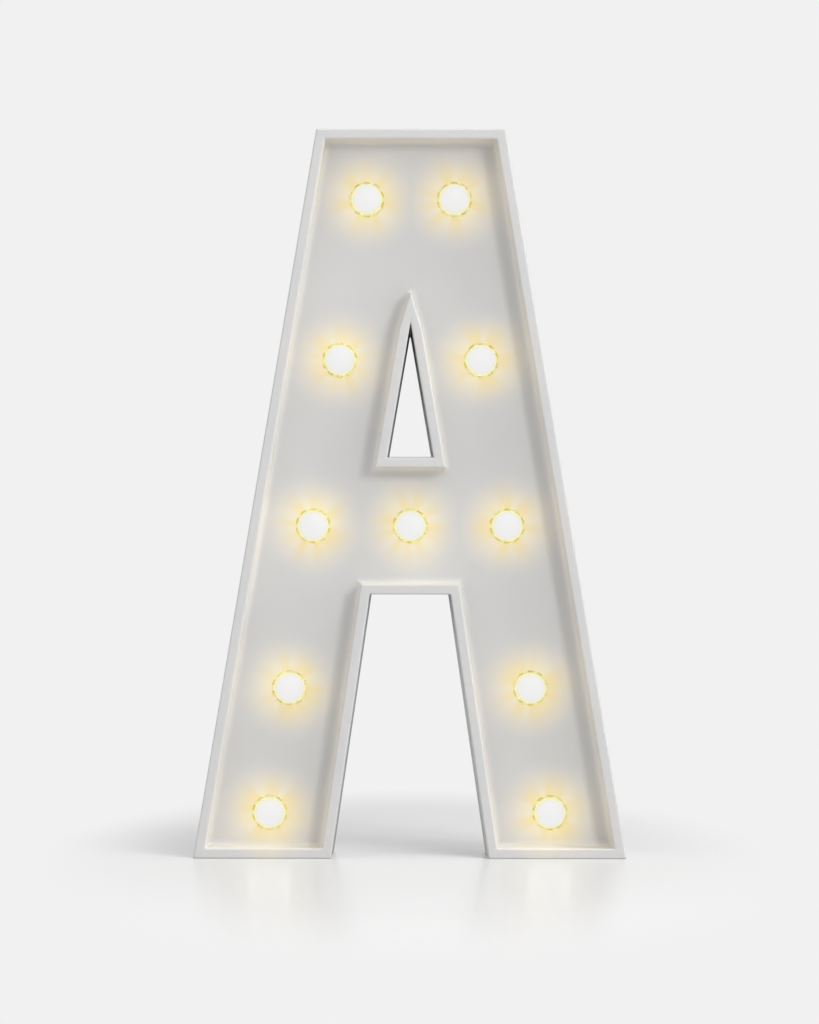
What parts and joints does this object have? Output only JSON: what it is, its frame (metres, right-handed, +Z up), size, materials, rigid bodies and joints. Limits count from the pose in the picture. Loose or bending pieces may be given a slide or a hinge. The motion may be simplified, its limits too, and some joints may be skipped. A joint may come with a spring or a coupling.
{
  "type": "light-up letter",
  "caption": "Free-standing white marquee letter A with a raised rim, a recessed face lit by frosted warm bulbs, and a battery door, slide switch and keyhole hangers at the back.",
  "frame": {"origin": "on the floor, under the middle of the letter's width and depth", "axes": "+Z up along the letter, +X to the right seen from the lit front, +Y from the front to the back"},
  "size_m": [0.1306, 0.045, 0.22],
  "materials": {
    "shell_white": "fine satin moulding texture",
    "bulb_frost": "frosted, lit from inside",
    "socket_gold": "clear golden plastic",
    "led_epoxy": "clear epoxy",
    "screw_steel": "zinc plated",
    "contact_nickel": "nickel plated",
    "switch_board": "phenolic board",
    "knob_black": "satin",
    "cell_jacket": "printed jacket without words",
    "wire_red": "soft insulation",
    "wire_black": "soft insulation"
  },
  "bodies": {
    "letter": {"front_shell": "shell_white", "back_cover": "shell_white", "bulb_dome_1": "bulb_frost", "bulb_dome_2": "bulb_frost", "bulb_dome_3": "bulb_frost", "bulb_dome_4": "bulb_frost", "bulb_dome_5": "bulb_frost", "bulb_dome_6": "bulb_frost", "bulb_dome_7": "bulb_frost", "bulb_dome_8": "bulb_frost", "bulb_dome_9": "bulb_frost", "bulb_dome_10": "bulb_frost", "bulb_dome_11": "bulb_frost", "bulb_socket_1": "socket_gold", "bulb_socket_2": "socket_gold", "bulb_socket_3": "socket_gold", "bulb_socket_4": "socket_gold", "bulb_socket_5": "socket_gold", "bulb_socket_6": "socket_gold", "bulb_socket_7": "socket_gold", "bulb_socket_8": "socket_gold", "bulb_socket_9": "socket_gold", "bulb_socket_10": "socket_gold", "bulb_socket_11": "socket_gold", "led_1": "led_epoxy", "led_2": "led_epoxy", "led_3": "led_epoxy", "led_4": "led_epoxy", "led_5": "led_epoxy", "led_6": "led_epoxy", "led_7": "led_epoxy", "led_8": "led_epoxy", "led_9": "led_epoxy", "led_10": "led_epoxy", "led_11": "led_epoxy", "cover_screws": "screw_steel", "switch_screws": "screw_steel", "switch_frame": "screw_steel", "contact_plus": "contact_nickel", "contact_minus": "contact_nickel", "contact_bridge": "contact_nickel", "contact_spring_1": "contact_nickel", "contact_spring_2": "contact_nickel", "switch_terminals": "contact_nickel", "switch_base": "switch_board", "cell_1": "cell_jacket", "cell_2": "cell_jacket", "led_wire_plus": "wire_red", "wire_cells_to_switch": "wire_red", "wire_switch_to_leds": "wire_red", "led_wire_minus": "wire_black", "wire_cells_to_leds": "wire_black"},
    "switch_knob": {"switch_knob": "knob_black"},
    "battery_door": {"battery_door": "shell_white"}
  },
  "joints": [
    {"name": "switch_slide", "type": "slide", "parent": "letter", "child": "switch_knob", "axis": [1, 0, 0], "range_m": [0, 0.003]},
    {"name": "door_hinge", "type": "hinge", "parent": "letter", "child": "battery_door", "pos_m": [0, 0.019, 0.11425], "axis": [1, 0, 0], "range_deg": [0, 90]}
  ]
}
